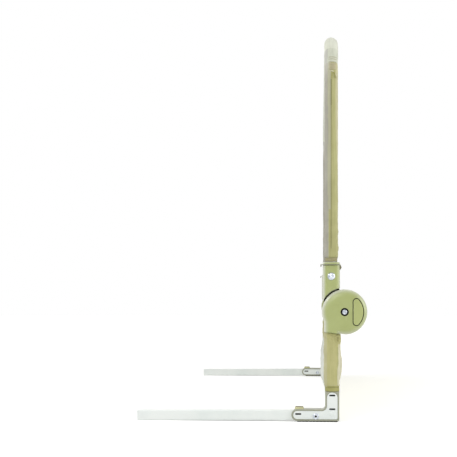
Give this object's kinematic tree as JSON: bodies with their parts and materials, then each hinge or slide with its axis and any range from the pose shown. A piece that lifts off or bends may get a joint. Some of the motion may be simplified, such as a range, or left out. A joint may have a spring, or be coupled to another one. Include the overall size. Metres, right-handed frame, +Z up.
{
  "type": "folding bed guard rail",
  "caption": "Guard rail for the side of a bed: foot bars slide under the mattress and the fabric-covered upper frame folds down outwards at two hinges with release buttons.",
  "frame": {"origin": "centre of the bounding box's underside, level with the bed base that the foot bars rest on", "axes": "+X away from the bed, +Y along the rail from the near end to the far end, +Z up"},
  "size_m": [0.3346, 0.9596, 0.565],
  "materials": {
    "green_plastic": "moulded, fine satin texture",
    "grey_plastic": "moulded, fine matt texture",
    "white_paint": "powder coated, satin",
    "white_plastic": "moulded",
    "steel_tube": "drawn tube, bare",
    "zinc_plate": "bright zinc plated",
    "black_rubber": "matt",
    "khaki_fabric": "plain woven polyester",
    "pale_fabric": "plain woven and knitted mesh polyester",
    "webbing": "narrow woven tape"
  },
  "bodies": {
    "lower_frame": {"hinge_cover_near": "green_plastic", "hinge_cover_far": "green_plastic", "hinge_housing_near": "green_plastic", "hinge_housing_far": "green_plastic", "pivot_bolt_near": "zinc_plate", "pivot_bolt_far": "zinc_plate", "pivot_nut_near": "zinc_plate", "pivot_nut_far": "zinc_plate", "lock_plate_near": "steel_tube", "lock_plate_far": "steel_tube", "button_spring_near": "steel_tube", "button_spring_far": "steel_tube", "lower_post_near": "steel_tube", "lower_post_far": "steel_tube", "lower_post_rivet_near": "zinc_plate", "lower_post_rivet_far": "zinc_plate", "cross_tube": "steel_tube", "corner_bracket_near": "grey_plastic", "corner_bracket_far": "grey_plastic", "bracket_plate_near": "white_paint", "bracket_plate_far": "white_paint", "bracket_inner_plate_near": "white_paint", "bracket_inner_plate_far": "white_paint", "bracket_screw_near": "zinc_plate", "bracket_screw_far": "zinc_plate", "bracket_rivet_near": "zinc_plate", "bracket_rivet_far": "zinc_plate", "bracket_sole_near": "black_rubber", "bracket_sole_far": "black_rubber", "foot_bar_near": "white_paint", "foot_bar_far": "white_paint", "foot_bar_plug_near": "white_plastic", "foot_bar_plug_far": "white_plastic", "strap_tab_near": "webbing", "strap_tab_far": "webbing", "lower_sleeve_near": "khaki_fabric", "lower_sleeve_far": "khaki_fabric", "lower_panel": "pale_fabric"},
    "upper_frame": {"hinge_arm_near": "green_plastic", "hinge_arm_far": "green_plastic", "arm_rivet_near": "zinc_plate", "arm_rivet_far": "zinc_plate", "side_tube_near": "steel_tube", "side_tube_far": "steel_tube", "top_tube": "steel_tube", "upper_sleeve": "khaki_fabric", "upper_panel": "pale_fabric"},
    "button_near": {"release_button_near": "green_plastic"},
    "button_far": {"release_button_far": "green_plastic"}
  },
  "joints": [
    {"name": "fold", "type": "hinge", "parent": "lower_frame", "child": "upper_frame", "pos_m": [0.13465, 0, 0.1585], "axis": [0, 1, 0], "range_deg": [0, 180]},
    {"name": "near_button_press", "type": "slide", "parent": "lower_frame", "child": "button_near", "axis": [0, 1, 0], "range_m": [0, 0.004], "stiffness_N_per_m": 600, "springref_m": -0.002, "deforming": ["button_spring_near"]},
    {"name": "far_button_press", "type": "slide", "parent": "lower_frame", "child": "button_far", "axis": [0, -1, 0], "range_m": [0, 0.004], "stiffness_N_per_m": 600, "springref_m": -0.002, "deforming": ["button_spring_far"]}
  ]
}
